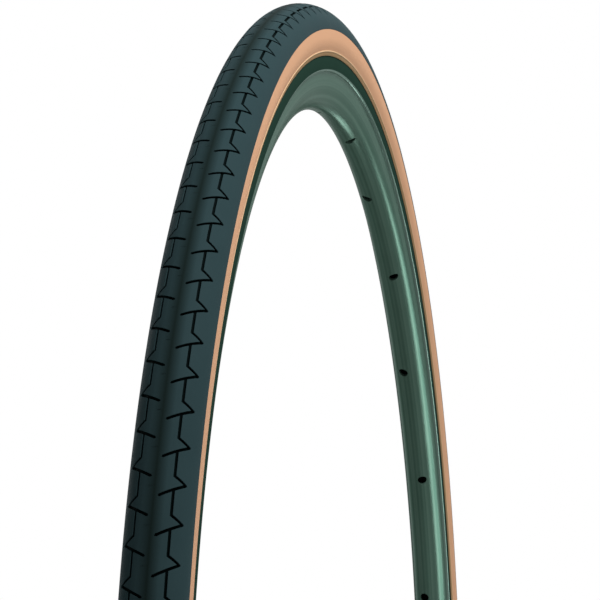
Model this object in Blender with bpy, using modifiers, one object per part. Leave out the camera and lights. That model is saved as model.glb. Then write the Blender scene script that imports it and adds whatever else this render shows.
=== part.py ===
"""Road bicycle tyre, mounted and inflated on its rim, with inner tube, rim tape and valve.

Metres, +Z up. The wheel stands in the XZ plane: its axle line is the Y axis, its centre is the
origin, and the valve is at the bottom, pointing up at the centre. Left is -Y and right is +Y.
A section point is (radius from the axle, distance across from the wheel's middle plane).
"""
import math

import bmesh
import bpy
from mathutils import Matrix, Vector

# Turning
RING_STEPS = 42
SMALL_STEPS = 12
FLAT = math.cos(math.pi / RING_STEPS)
FIT = 0.0002
MERGE = 0.00001

# Tyre section
CROWN_RADIUS = 0.3370
LIP_RADIUS = 0.3256
LIP_HALF_WIDTH = 0.01116
TREAD_DEPTH = 0.0024
LIP_DEPTH = 0.0008
BREAKER_DEPTH = 0.00045
PLY_DEPTH = 0.0007
GUM_DEPTH = 0.0006
WALL_BULGE_RADIUS = 0.3212
WALL_HALF_WIDTH = 0.0111
WALL_WAIST_LIFT = 0.0022
WALL_WAIST_OUT = 0.0010
BEAD_WIRE_RADIUS = 0.00085
BEAD_LIFT = 0.0028
BEAD_INSET = 0.00235
CHAFER_DEPTH = 0.00035
TUBE_DEPTH = 0.0009

# Tread grooves: slanted barbs, each from an inner end near the crown to a tip on the shoulder
BARB_COUNT = 160
BARB_END = 8.3
BARB_MIDDLE = 30.0
BARB_TIP = 52.4
BARB_LEAN = 0.356
BARB_WIDTH = 0.0011
BARB_DEPTH = 0.0005
FIRST_BARB = math.radians(15.88)

# Rim section
FLANGE_RADIUS = 0.3159
SEAT_RADIUS = 0.3110
WELL_RADIUS = 0.3056
NOSE_RADIUS = 0.2936
BODY_RADIUS = 0.3092
TRACK_HALF_WIDTH = 0.0093
TRACK_ROUND = 0.0006
BODY_HALF_WIDTH = 0.0080
FLANGE_INNER = 0.0076
HOOK = 0.0006
HOOK_DEPTH = 0.0019
SEAT_WIDTH = 0.0020
WELL_HALF_WIDTH = 0.0048
RIM_WALL = 0.0014
TAPE_DEPTH = 0.0004

# Holes in the rim
SPOKE_COUNT = 28
SPOKE_HOLE = 0.0045
ACCESS_HOLE = 0.0084
SPOKE_STAGGER = 0.0016
HOLE_SIDES = 6
VALVE_HOLE = 0.0066
PLUG_REACH = 0.0030
SLEEVE_LENGTH = 0.040

# Valve, heights measured from the rim's inner face towards the wheel's centre
STEM_DIAMETER = 0.0060
STEM_NECK = 0.0038
STEM_FOOT = 0.0056
STEM_FOOT_DEPTH = 0.0008
STEM_TOP = 0.0340
STEM_SHOULDER = 0.0280
STEM_CHAMFER = 0.0006
CAP_THREAD = 0.0052
STEM_BORE = 0.0022
CORE_BORE = 0.0040
CORE_BORE_FLOOR = 0.0090
CORE_FOOT = 0.0160
CORE_HEAD = 0.0048
CORE_HEAD_TOP = 0.0368
PIN_DIAMETER = 0.0018
PIN_HOLE = 0.0023
PIN_TOP = 0.0440
SEAL_DIAMETER = 0.0034
SEAL_DEPTH = 0.0012
PIN_COLLAR = 0.0027
LOCK_NUT_DIAMETER = 0.0044
LOCK_NUT_HEIGHT = 0.0036
NUT_CHAMFER = 0.0005
CAP_DIAMETER = 0.0074
CAP_TIP = 0.0056
CAP_TOP = 0.0470
CAP_GAP = 0.0009
CAP_SKIRT = 0.0090
CAP_ROUND = 0.0008
CAP_ROOF = 0.0014
RIM_NUT_DIAMETER = 0.0096
RIM_NUT_GRIP = 0.0084
RIM_NUT_HEIGHT = 0.0038
RIM_NUT_FLANGE = 0.0012
PAD_LENGTH = 0.0200
PAD_WIDTH = 0.0062
PAD_DEPTH = 0.0012


def clear_scene():
    for item in list(bpy.data.objects):
        bpy.data.objects.remove(item, do_unlink=True)


def new_collection(name):
    group = bpy.data.collections.new(name)
    bpy.context.scene.collection.children.link(group)
    return group


def material(name, colour, roughness, metallic=0.0):
    finish = bpy.data.materials.new(name)
    finish.use_nodes = True
    shader = finish.node_tree.nodes["Principled BSDF"]
    shader.inputs["Base Color"].default_value = (*colour, 1.0)
    shader.inputs["Roughness"].default_value = roughness
    shader.inputs["Metallic"].default_value = metallic
    return finish


clear_scene()
parts = new_collection("road_bicycle_tyre")
cutters = new_collection("cutters")

black_rubber = material("black_tread_rubber", (0.025, 0.030, 0.034), 0.55)
tan_rubber = material("tan_wall_rubber", (0.62, 0.36, 0.19), 0.60)
tube_rubber = material("tube_rubber", (0.020, 0.020, 0.021), 0.50)
ply_cloth = material("casing_cloth", (0.45, 0.33, 0.20), 0.85)
breaker_cloth = material("breaker_cloth", (0.70, 0.62, 0.42), 0.80)
chafer_cloth = material("chafer_cloth", (0.06, 0.06, 0.06), 0.85)
tape_cloth = material("tape_cloth", (0.70, 0.70, 0.66), 0.80)
bead_steel = material("bead_steel", (0.55, 0.50, 0.42), 0.35, 1.0)
rim_alloy = material("grey_green_rim_alloy", (0.07, 0.14, 0.11), 0.32, 0.30)
sleeve_alloy = material("sleeve_alloy", (0.70, 0.71, 0.72), 0.40, 1.0)
valve_brass = material("nickel_plated_brass", (0.72, 0.70, 0.66), 0.25, 1.0)
cap_plastic = material("cap_plastic", (0.03, 0.03, 0.03), 0.45)


def add_object(name, mesh, finish, group=parts):
    item = bpy.data.objects.new(name, mesh)
    item.data.materials.append(finish)
    group.objects.link(item)
    return item


def mirrored(half):
    """Closed symmetric loop from its right-hand half, whose points have a distance across."""
    left = [(radius, -across) for radius, across in reversed(half) if across > 0]
    return half + left


def ellipse(centre, rise, half_width, degrees):
    """Points of an elliptic arc whose angle is measured from its top, at the middle plane."""
    turns = [math.radians(value) for value in degrees]
    return [(centre + rise * math.cos(t), half_width * math.sin(t)) for t in turns]


def swap_sides(section):
    return [(radius, -across) for radius, across in section]


def offset(loop, distance, closed):
    """Each point of a line, moved sideways by a distance on mitred corners."""
    points = [Vector(point) for point in loop]
    moved = []
    for index, here in enumerate(points):
        before = points[index - 1] if closed or index else here
        after = points[(index + 1) % len(points)] if closed or index + 1 < len(points) else here
        sides = [(b - a).normalized() for a, b in ((before, here), (here, after)) if a != b]
        normals = [Vector((-side.y, side.x)) for side in sides]
        middle = sum(normals, Vector((0.0, 0.0))).normalized()
        moved.append(here + middle * distance / middle.dot(normals[0]))
    return [tuple(point) for point in moved]


def ribbon(path, depth):
    """Closed section of a strip of one depth along a path, tapered to a point at both ends."""
    outer = offset(path, depth / 2, False)
    inner = offset(path, -depth / 2, False)
    return [path[0]] + outer[1:-1] + [path[-1]] + inner[-2:0:-1]


def loop_area(section):
    pairs = zip(section, section[1:] + section[:1])
    return sum(a[0] * b[1] - b[0] * a[1] for a, b in pairs) / 2


def profile_mesh(name, loops, place):
    """Edges of closed loops. The first loop is the outside, and the others are hollows."""
    shape = bmesh.new()
    for number, loop in enumerate(loops):
        outward = loop_area(loop) < 0
        points = loop if outward == (number == 0) else loop[::-1]
        corners = [shape.verts.new(place(point)) for point in points]
        for start, end in zip(corners, corners[1:] + corners[:1]):
            shape.edges.new((start, end))
    mesh = bpy.data.meshes.new(name)
    shape.to_mesh(mesh)
    shape.free()
    return mesh


def turn(item, axis, steps):
    screw = item.modifiers.new("Turn", "SCREW")
    screw.axis = axis
    screw.angle = math.tau
    screw.steps = steps
    screw.render_steps = steps
    screw.use_merge_vertices = True
    screw.merge_threshold = MERGE
    screw.use_normal_calculate = False
    screw.use_smooth_shade = True
    return item


def ring(name, finish, *loops, steps=RING_STEPS):
    """A hoop turned about the wheel's axle line."""
    mesh = profile_mesh(name, loops, lambda point: (point[0], point[1], 0.0))
    return turn(add_object(name, mesh, finish), "Y", steps)


def cut(item, cutter):
    cutter.hide_render = True
    cutter.display_type = "WIRE"
    difference = item.modifiers.new("Cut", "BOOLEAN")
    difference.operation = "DIFFERENCE"
    difference.solver = "EXACT"
    difference.object = cutter


def plugs(name, holes):
    """One cutter of radial round plugs: each is (angle, across, diameter, from, to, sides)."""
    shape = bmesh.new()
    for angle, across, diameter, low, high, sides in holes:
        lie_radial = Matrix.Rotation(math.pi / 2 - angle, 4, "Y")
        stand = Matrix.Translation((0.0, across, (low + high) / 2))
        bmesh.ops.create_cone(
            shape, cap_ends=True, segments=sides, radius1=diameter / 2, radius2=diameter / 2,
            depth=high - low, matrix=lie_radial @ stand)
    mesh = bpy.data.meshes.new(name)
    shape.to_mesh(mesh)
    shape.free()
    return add_object(name, mesh, rim_alloy, cutters)


# Tyre: layers share the angles of their corners, so that they nest without touching
CORE_RADIUS = LIP_RADIUS - FIT
LAYER_ANGLES = (14, 40, 65, 90)
BREAKER_ANGLES = (14, 40)
PLY_ANGLES = (25, 62)

tread_floor_rise = CROWN_RADIUS - TREAD_DEPTH - CORE_RADIUS
tread_floor_half_width = LIP_HALF_WIDTH - LIP_DEPTH
breaker_rise = tread_floor_rise - FIT - BREAKER_DEPTH / 2
ply_rise = tread_floor_rise - 3 * FIT - BREAKER_DEPTH - PLY_DEPTH / 2
ply_half_width = tread_floor_half_width - FIT - PLY_DEPTH / 2

bead = (SEAT_RADIUS + BEAD_LIFT, FLANGE_INNER - BEAD_INSET)
bead_wrap = BEAD_WIRE_RADIUS + FIT + PLY_DEPTH / 2


def barb_lean(angle):
    """How far the tread's grid leans along the hoop at an angle from the crown, in pitches."""
    if angle == 0:
        return -BARB_LEAN - 0.25
    inward = min(max((BARB_TIP - abs(angle)) / (BARB_TIP - BARB_END), 0.0), 1.0)
    return -BARB_LEAN * inward - (0.5 if angle > 0 else 0.0)


def spun_rows(shape, section, steps, row_of, first_row):
    """Turns an open section about the axle line. Its points keep their row numbers."""
    chain = [shape.verts.new((-radius, across, 0.0)) for radius, across in section]
    for row, corner in enumerate(chain):
        corner[row_of] = first_row + row
    edges = [shape.edges.new(pair) for pair in zip(chain, chain[1:])]
    bmesh.ops.spin(shape, geom=chain + edges, cent=(0, 0, 0), axis=(0, 1, 0), angle=math.tau,
                   steps=steps, use_merge=True)


def grooved_tread():
    """Rubber cap with two rows of slanted grooves, half a pitch apart, each pointed at both ends."""
    half = (BARB_END, BARB_MIDDLE, BARB_TIP, 90.0)
    angles = [-angle for angle in reversed(half)] + [0.0, *half]
    pitch = math.tau / BARB_COUNT
    shape = bmesh.new()
    row_of = shape.verts.layers.int.new("row")
    face = ellipse(LIP_RADIUS, CROWN_RADIUS - LIP_RADIUS, LIP_HALF_WIDTH, angles)
    spun_rows(shape, face, BARB_COUNT, row_of, 0)
    for row, angle in enumerate(angles):
        lean = Matrix.Rotation(FIRST_BARB + barb_lean(angle) * pitch, 3, "Y")
        members = [corner for corner in shape.verts if corner[row_of] == row]
        bmesh.ops.rotate(shape, cent=(0, 0, 0), matrix=lean, verts=members)

    ends, middles, tips = ([angles.index(sign * angle) for sign in (-1, 1)]
                           for angle in (BARB_END, BARB_MIDDLE, BARB_TIP))
    barbs = [{middle, other} for middle, *pair in zip(middles, ends, tips) for other in pair]
    slits = [edge for edge in shape.edges if {corner[row_of] for corner in edge.verts} in barbs]
    bmesh.ops.split_edges(shape, edges=slits)
    for corner in shape.verts:
        if corner[row_of] in middles:
            ahead = Vector((corner.co.z, 0.0, -corner.co.x)).normalized()
            inside = corner.link_faces[0].calc_center_median() - corner.co
            corner.co += ahead * math.copysign(BARB_WIDTH / 2, ahead.dot(inside))

    floor = ellipse(CORE_RADIUS, tread_floor_rise, tread_floor_half_width, LAYER_ANGLES)
    floor = swap_sides(floor[::-1]) + floor
    first_floor = len(angles)
    spun_rows(shape, floor, RING_STEPS, row_of, first_floor)
    for lip, floor_edge in ((0, first_floor), (first_floor - 1, first_floor + len(floor) - 1)):
        rims = [edge for edge in shape.edges
                if {corner[row_of] for corner in edge.verts} in ({lip}, {floor_edge})]
        bmesh.ops.bridge_loops(shape, edges=rims)
    openings = bmesh.ops.holes_fill(shape, edges=shape.edges, sides=4)["faces"]
    bmesh.ops.recalc_face_normals(shape, faces=shape.faces)
    bmesh.ops.poke(shape, faces=openings, offset=-BARB_DEPTH)
    mesh = bpy.data.meshes.new("tread")
    shape.to_mesh(mesh)
    shape.free()
    return mesh


def breaker_section():
    half = ellipse(CORE_RADIUS, breaker_rise, tread_floor_half_width - FIT, BREAKER_ANGLES)
    return ribbon(swap_sides(half[::-1]) + half, BREAKER_DEPTH)


def casing_section():
    """One ply from bead to bead, whose ends wrap round the bead wires and turn up."""
    crown = ellipse(CORE_RADIUS, ply_rise, ply_half_width, PLY_ANGLES)
    bulge = (WALL_BULGE_RADIUS + 3 * FIT, ply_half_width - FIT)
    inside_bead = [(bead[0] + bead_wrap, bead[1] - bead_wrap), (bead[0] - FIT, bead[1] - bead_wrap)]
    under_bead = (bead[0] - bead_wrap - FIT, bead[1])
    turn_up = (bead[0] + FIT, bead[1] + bead_wrap - FIT)
    half = crown + [bulge] + inside_bead + [under_bead, turn_up]
    return ribbon(swap_sides(half[::-1]) + half, PLY_DEPTH)


def wall_section():
    """Tan rubber coat from the tread's lip, over the bulge, down to the rim's flange."""
    outside = [
        (LIP_RADIUS - 2 * FIT, LIP_HALF_WIDTH - FIT),
        (WALL_BULGE_RADIUS, WALL_HALF_WIDTH),
        (FLANGE_RADIUS + WALL_WAIST_LIFT, TRACK_HALF_WIDTH + WALL_WAIST_OUT),
        (FLANGE_RADIUS + FIT, TRACK_HALF_WIDTH),
    ]
    inside = [
        (FLANGE_RADIUS + FIT, FLANGE_INNER - HOOK),
        (WALL_BULGE_RADIUS, WALL_HALF_WIDTH - GUM_DEPTH),
        (LIP_RADIUS - 2 * FIT, LIP_HALF_WIDTH - FIT - GUM_DEPTH),
    ]
    return outside + inside


def wire_section():
    return [(bead[0] + BEAD_WIRE_RADIUS * math.cos(t), bead[1] + BEAD_WIRE_RADIUS * math.sin(t))
            for t in (math.tau * side / 4 for side in range(4))]


def chafer_section():
    """Woven strip that keeps the bead from chafing on the seat and the flange."""
    toe = (SEAT_RADIUS + FIT + CHAFER_DEPTH, bead[1] - bead_wrap - PLY_DEPTH / 4)
    heel = (SEAT_RADIUS + FIT + CHAFER_DEPTH / 2, FLANGE_INNER - FIT - 1.5 * CHAFER_DEPTH)
    top = (bead[0] + BEAD_WIRE_RADIUS / 2, FLANGE_INNER - FIT - CHAFER_DEPTH / 2)
    return ribbon([toe, heel, top], CHAFER_DEPTH)


add_object("tread", grooved_tread(), black_rubber)
ring("breaker_strip", breaker_cloth, breaker_section())
ring("casing", ply_cloth, casing_section())
for side, place in (("right", list), ("left", swap_sides)):
    ring("sidewall_" + side, tan_rubber, place(wall_section()))
    ring("bead_wire_" + side, bead_steel, place(wire_section()))
    ring("chafer_" + side, chafer_cloth, place(chafer_section()))


# Rim: hollow alloy extrusion rolled into a hoop
BOWL_ANGLES = (25, 47, 68, 90)
CHAMBER_ANGLES = (47, 76)


def bowl(wall, angles):
    """Points of the bowl's face, or of a like face that a wall's thickness lies outside of."""
    depth = BODY_RADIUS - NOSE_RADIUS - wall
    return [(BODY_RADIUS - rise, across)
            for rise, across in ellipse(0.0, depth, BODY_HALF_WIDTH - wall, angles)]


def rim_outside():
    nose = [(NOSE_RADIUS, 0.0)]
    track = [(BODY_RADIUS, TRACK_HALF_WIDTH - TRACK_ROUND), (BODY_RADIUS + TRACK_ROUND, TRACK_HALF_WIDTH),
             (FLANGE_RADIUS, TRACK_HALF_WIDTH)]
    hook = [(FLANGE_RADIUS, FLANGE_INNER - HOOK), (FLANGE_RADIUS - HOOK_DEPTH, FLANGE_INNER)]
    seat = [(SEAT_RADIUS, FLANGE_INNER), (SEAT_RADIUS, FLANGE_INNER - SEAT_WIDTH)]
    well = [(WELL_RADIUS, WELL_HALF_WIDTH)]
    return mirrored(nose + bowl(0.0, BOWL_ANGLES) + track + hook + seat + well)


def rim_chamber():
    nose = [(NOSE_RADIUS + RIM_WALL, 0.0)]
    roof = [(WELL_RADIUS - RIM_WALL, WELL_HALF_WIDTH - FIT)]
    return mirrored(nose + bowl(RIM_WALL, CHAMBER_ANGLES) + roof)


def spoke_plugs():
    """Nipple holes in the inner face, with wider access holes in the well above them."""
    holes = []
    for number in range(SPOKE_COUNT):
        angle = math.tau * (number + 0.5) / SPOKE_COUNT
        across = SPOKE_STAGGER * (1 if number % 2 else -1)
        inner = (NOSE_RADIUS - PLUG_REACH, NOSE_RADIUS + 2 * PLUG_REACH)
        outer = (WELL_RADIUS - PLUG_REACH, WELL_RADIUS + PLUG_REACH)
        holes.append((angle, across, SPOKE_HOLE, *inner, HOLE_SIDES))
        holes.append((angle, 0.0, ACCESS_HOLE, *outer, HOLE_SIDES))
    return holes


valve_angle = 1.5 * math.pi
through_rim = (valve_angle, 0.0, VALVE_HOLE, NOSE_RADIUS - PLUG_REACH, SEAT_RADIUS, SMALL_STEPS)

rim = ring("rim", rim_alloy, rim_outside(), rim_chamber())
cut(rim, plugs("rim_hole_plugs", spoke_plugs() + [through_rim]))

tape_half = WELL_HALF_WIDTH - FIT
tape_low = WELL_RADIUS + FIT
tape_high = tape_low + TAPE_DEPTH
tape_section = mirrored([(tape_low, tape_half), (tape_high, tape_half)])
tape = ring("rim_tape", tape_cloth, tape_section)
cut(tape, plugs("tape_valve_plug", [through_rim]))


def sleeve():
    """Short plug inside the chamber, opposite the valve, that joins the ends of the hoop."""
    section = offset(rim_chamber(), -FIT if loop_area(rim_chamber()) < 0 else FIT, True)
    outline = bpy.data.curves.new("rim_joint_sleeve", "CURVE")
    outline.dimensions = "2D"
    outline.fill_mode = "BOTH"
    outline.extrude = SLEEVE_LENGTH / 2
    spline = outline.splines.new("POLY")
    spline.points.add(len(section) - 1)
    for point, (radius, across) in zip(spline.points, section):
        point.co = (across, radius * FLAT, 0.0, 1.0)
    spline.use_cyclic_u = True
    item = add_object("rim_joint_sleeve", outline, sleeve_alloy)
    item.rotation_euler = (math.pi / 2, 0.0, math.pi / 2)


sleeve()


# Inner tube, blown up against the casing and down into the well, open where the valve goes in
TUBE_ANGLES = (24, 66)
tube_neck = bead[1] - bead_wrap - PLY_DEPTH


def tube_outside():
    crown = ellipse(CORE_RADIUS, ply_rise - PLY_DEPTH, ply_half_width - PLY_DEPTH, TUBE_ANGLES)
    bulge = (WALL_BULGE_RADIUS + 3 * FIT, ply_half_width - PLY_DEPTH - 2 * FIT)
    throat = [(bead[0] + bead_wrap + FIT, tube_neck), (SEAT_RADIUS - FIT, tube_neck)]
    floor = [(tape_high + FIT, WELL_HALF_WIDTH - 3 * FIT)]
    return mirrored(crown + [bulge] + throat + floor)


def tube_inside():
    rise = ply_rise - PLY_DEPTH - TUBE_DEPTH
    half_width = ply_half_width - PLY_DEPTH - TUBE_DEPTH
    crown = ellipse(CORE_RADIUS, rise, half_width, TUBE_ANGLES)
    bulge = (WALL_BULGE_RADIUS + 3 * FIT, half_width - 2 * FIT)
    neck = (bead[0] + bead_wrap + FIT, tube_neck - TUBE_DEPTH)
    floor = (tape_high + FIT + TUBE_DEPTH, WELL_HALF_WIDTH - 3 * FIT - TUBE_DEPTH)
    return mirrored(crown + [bulge, neck, floor])


tube = ring("inner_tube", tube_rubber, tube_outside(), tube_inside())


def stadium(length, width, steps):
    """Flat outline with round ends, as points in its own plane."""
    reach = (length - width) / 2
    points = []
    for end in (1, -1):
        for step in range(steps + 1):
            turn_by = math.pi * (step / steps - 0.5)
            points.append((end * (reach + width / 2 * math.cos(turn_by)),
                           end * width / 2 * math.sin(turn_by)))
    return points


def plate(name, outlines, depth, finish):
    """Flat plate of a given depth with straight sides, lying in the XY plane."""
    outline = bpy.data.curves.new(name, "CURVE")
    outline.dimensions = "2D"
    outline.fill_mode = "BOTH"
    outline.extrude = depth / 2
    for points in outlines:
        spline = outline.splines.new("POLY")
        spline.points.add(len(points) - 1)
        for point, (x, y) in zip(spline.points, points):
            point.co = (x, y, 0.0, 1.0)
        spline.use_cyclic_u = True
    return add_object(name, outline, finish)


def solid_copy(item, group):
    """Mesh made from a curve plate, welded, so that it can cut another piece."""
    bpy.context.view_layer.update()
    evaluated = item.evaluated_get(bpy.context.evaluated_depsgraph_get())
    mesh = bpy.data.meshes.new_from_object(evaluated)
    shape = bmesh.new()
    shape.from_mesh(mesh)
    bmesh.ops.remove_doubles(shape, verts=shape.verts, dist=MERGE)
    shape.to_mesh(mesh)
    shape.free()
    copy = bpy.data.objects.new(item.name, mesh)
    copy.matrix_world = item.matrix_world
    group.objects.link(copy)
    bpy.data.objects.remove(item, do_unlink=True)
    return copy


# Valve: every piece stands on this empty, whose Z axis points from the rim to the centre
valve_axis = bpy.data.objects.new("valve_axis", None)
valve_axis.location = (0.0, 0.0, -NOSE_RADIUS * FLAT)
parts.objects.link(valve_axis)


def height_of(radius):
    """Height on the valve's axis of a flat of a ring, which is below zero inside the rim."""
    return (NOSE_RADIUS - radius) * FLAT


def turned(name, finish, section, lift=0.0, steps=SMALL_STEPS):
    """Round piece on the valve's axis. Section points are (diameter, height)."""
    mesh = profile_mesh(name, [[(size / 2, height - lift) for size, height in section]],
                        lambda point: (point[0], 0.0, point[1]))
    item = turn(add_object(name, mesh, finish), "Z", steps)
    item.parent = valve_axis
    item.location.z = lift
    return item


pad_low = height_of(tape_high + FIT) - FIT / 2
pad_middle = pad_low - PAD_DEPTH / 2
hole = [(math.cos(t) * (STEM_NECK / 2 + FIT), math.sin(t) * (STEM_NECK / 2 + FIT))
        for t in (math.tau * step / SMALL_STEPS for step in range(SMALL_STEPS))]
pad = plate("valve_base_pad", [stadium(PAD_LENGTH, PAD_WIDTH, 5), hole], PAD_DEPTH, tube_rubber)
pad.parent = valve_axis
pad.location.z = pad_middle

slot = plate("tube_valve_slot", [stadium(PAD_LENGTH + 2 * FIT, PAD_WIDTH + 2 * FIT, 5)],
             4 * TUBE_DEPTH, tube_rubber)
slot.location.z = -(tape_high + TUBE_DEPTH) * FLAT
cut(tube, solid_copy(slot, cutters))

neck_low = pad_low + FIT
neck_high = pad_low - PAD_DEPTH - FIT
foot_end = neck_high - STEM_FOOT_DEPTH
turned("valve_stem", valve_brass, [
    (STEM_BORE, foot_end), (STEM_FOOT, foot_end), (STEM_FOOT, neck_high), (STEM_NECK, neck_high),
    (STEM_NECK, neck_low), (STEM_DIAMETER, neck_low), (STEM_DIAMETER, STEM_SHOULDER),
    (CAP_THREAD, STEM_SHOULDER + STEM_CHAMFER), (CAP_THREAD, STEM_TOP), (CORE_BORE, STEM_TOP),
    (CORE_BORE, CORE_BORE_FLOOR), (STEM_BORE, CORE_BORE_FLOOR - STEM_CHAMFER)])

core_body = CORE_BORE - 2 * FIT
turned("valve_core", valve_brass, [
    (PIN_HOLE, CORE_FOOT), (core_body, CORE_FOOT), (core_body, STEM_TOP + FIT),
    (CORE_HEAD, STEM_TOP + FIT), (CORE_HEAD, CORE_HEAD_TOP), (PIN_HOLE, CORE_HEAD_TOP)])

seal_top = CORE_FOOT - FIT
seal_low = seal_top - SEAL_DEPTH
collar_top = seal_low - FIT
turned("pin_seal", tube_rubber, [
    (PIN_HOLE, seal_low), (SEAL_DIAMETER, seal_low), (SEAL_DIAMETER, seal_top),
    (PIN_HOLE, seal_top)], lift=seal_low)
turned("valve_pin", valve_brass, [
    (0.0, collar_top - SEAL_DEPTH), (PIN_COLLAR, collar_top - SEAL_DEPTH), (PIN_COLLAR, collar_top),
    (PIN_DIAMETER, collar_top), (PIN_DIAMETER, PIN_TOP - NUT_CHAMFER),
    (PIN_DIAMETER / 2, PIN_TOP), (0.0, PIN_TOP)], lift=PIN_TOP)

nut_low = CORE_HEAD_TOP + FIT
nut_top = nut_low + LOCK_NUT_HEIGHT
turned("valve_lock_nut", valve_brass, [
    (PIN_HOLE, nut_low), (LOCK_NUT_DIAMETER, nut_low), (LOCK_NUT_DIAMETER, nut_top - NUT_CHAMFER),
    (LOCK_NUT_DIAMETER - 2 * NUT_CHAMFER, nut_top), (PIN_HOLE, nut_top)], lift=nut_low)

cap_mouth = STEM_SHOULDER + CAP_GAP
cap_bore = CAP_THREAD + 2 * FIT
cap_roof = CAP_TOP - CAP_ROOF
turned("valve_cap", cap_plastic, [
    (cap_bore, cap_mouth), (CAP_DIAMETER, cap_mouth), (CAP_DIAMETER, cap_mouth + CAP_SKIRT),
    (CAP_TIP, CAP_TOP - CAP_ROUND), (CAP_TIP - 2 * CAP_ROUND, CAP_TOP), (0.0, CAP_TOP),
    (0.0, cap_roof), (CAP_TIP - CAP_ROOF, cap_roof), (cap_bore, cap_mouth + CAP_SKIRT)], lift=cap_mouth)

rim_nut_low = FIT
turned("rim_nut", valve_brass, [
    (VALVE_HOLE, rim_nut_low), (RIM_NUT_DIAMETER, rim_nut_low),
    (RIM_NUT_DIAMETER, rim_nut_low + RIM_NUT_FLANGE),
    (RIM_NUT_GRIP, rim_nut_low + RIM_NUT_FLANGE + FIT),
    (RIM_NUT_GRIP, RIM_NUT_HEIGHT), (VALVE_HOLE, RIM_NUT_HEIGHT)], lift=rim_nut_low)
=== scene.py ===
"""Looks of a road bicycle tyre, inflated on a bare grey-green rim, with its inner tube and valve.

Metres, +Z up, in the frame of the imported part: the wheel stands in the XZ plane, its axle line is the
Y axis, and the valve is at the bottom. A section point is (radius from the axle, distance across).
"""
import math

import bmesh
import bpy
from mathutils import Matrix, Quaternion, Vector
from mathutils.geometry import interpolate_bezier


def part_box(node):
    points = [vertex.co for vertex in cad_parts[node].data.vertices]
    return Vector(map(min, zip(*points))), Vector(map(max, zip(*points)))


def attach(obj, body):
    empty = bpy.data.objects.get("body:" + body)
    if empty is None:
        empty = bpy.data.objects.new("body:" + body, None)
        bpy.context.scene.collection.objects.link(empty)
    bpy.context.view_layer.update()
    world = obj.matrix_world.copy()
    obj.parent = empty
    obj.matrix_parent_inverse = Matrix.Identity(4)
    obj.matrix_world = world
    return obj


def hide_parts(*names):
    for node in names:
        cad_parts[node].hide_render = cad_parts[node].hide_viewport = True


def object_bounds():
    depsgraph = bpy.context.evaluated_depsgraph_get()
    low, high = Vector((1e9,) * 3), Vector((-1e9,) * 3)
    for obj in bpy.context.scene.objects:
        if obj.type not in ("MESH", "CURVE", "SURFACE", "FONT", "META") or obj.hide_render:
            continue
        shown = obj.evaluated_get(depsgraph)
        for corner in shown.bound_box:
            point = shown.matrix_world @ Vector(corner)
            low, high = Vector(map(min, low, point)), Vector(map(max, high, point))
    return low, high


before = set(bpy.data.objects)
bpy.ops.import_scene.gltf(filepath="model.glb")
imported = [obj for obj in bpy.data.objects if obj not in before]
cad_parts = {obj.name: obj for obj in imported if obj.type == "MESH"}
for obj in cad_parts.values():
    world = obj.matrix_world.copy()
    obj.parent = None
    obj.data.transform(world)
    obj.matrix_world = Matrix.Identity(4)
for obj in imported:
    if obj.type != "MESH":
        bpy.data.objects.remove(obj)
cad_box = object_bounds()

# Rim
# An aluminium extrusion, rolled into a hoop and anodised grey-green. Its flat brake tracks stand a
# little proud of a deep hollow bowl, which is drilled with 28 staggered holes for spoke nipples. Wider
# holes above them let the nipples in from the well, and one hole at the bottom takes the valve.
WHEEL = "tyre_and_rim"
NOSE_RADIUS = 0.2936
BOWL_RADIUS = 0.3089
FLANGE_RADIUS = 0.3159
SEAT_RADIUS = 0.3110
WELL_RADIUS = 0.3056
BOWL_HALF_WIDTH = 0.0080
TRACK_HALF_WIDTH = 0.0093
TRACK_ROUND = 0.0010
BOWL_TURN = 84
BOWL_STEPS = 15
CHAMBER_TURN = 76
CHAMBER_STEPS = 8
FLANGE_INNER = 0.0076
WELL_HALF_WIDTH = 0.0048
SEAT_WIDTH = 0.0020
HOOK = 0.0006
HOOK_DEPTH = 0.0019
EDGE_ROUND = 0.0003
CORNER_STEPS = 3
FOOT_STEPS = 5
BLEND_STEPS = 6
RIM_WALL = 0.0014
SPOKE_COUNT = 28
NIPPLE_HOLE = 0.0045
ACCESS_HOLE = 0.0084
HOLE_STAGGER = 0.0016
HOLE_SIDES = 24
VALVE_HOLE = 0.0066
VALVE_ANGLE = 1.5 * math.pi
RIM_STEPS = 18 * SPOKE_COUNT
NEAR = 0.00002
WELD = NEAR / 10
SHARP_DEGREES = 35
NOISE_SPREAD = (0.3, 0.7)
MIX_COLOUR_INPUTS = (6, 7)


def arc(centre, rise, half_width, first, last, steps):
    """Points of an elliptic arc. Its angle, in degrees, is 0 where it is furthest from the axle."""
    turns = [math.radians(first + (last - first) * step / steps) for step in range(steps + 1)]
    return [(centre[0] + rise * math.cos(t), centre[1] + half_width * math.sin(t)) for t in turns]


def eased(first, first_pull, last_pull, last, steps):
    """Points of a smooth curve between two points, drawn towards two others, without its first point."""
    knots = [(*point, 0.0) for point in (first, first_pull, last_pull, last)]
    return [tuple(point.xy) for point in interpolate_bezier(*knots, steps + 1)[1:]]


def both_sides(half):
    """A closed loop from its right-hand half."""
    return half + [(radius, -across) for radius, across in reversed(half) if across > NEAR]


def drawn_line(shape, places, closed=True):
    """Adds a line of edges through some places, and returns its vertices and edges."""
    corners = [shape.verts.new(place) for place in places]
    ends = corners[1:] + corners[:1] if closed else corners[1:]
    return corners + [shape.edges.new(pair) for pair in zip(corners, ends)]


def all_of(shape):
    return shape.verts[:] + shape.edges[:] + shape.faces[:]


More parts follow.
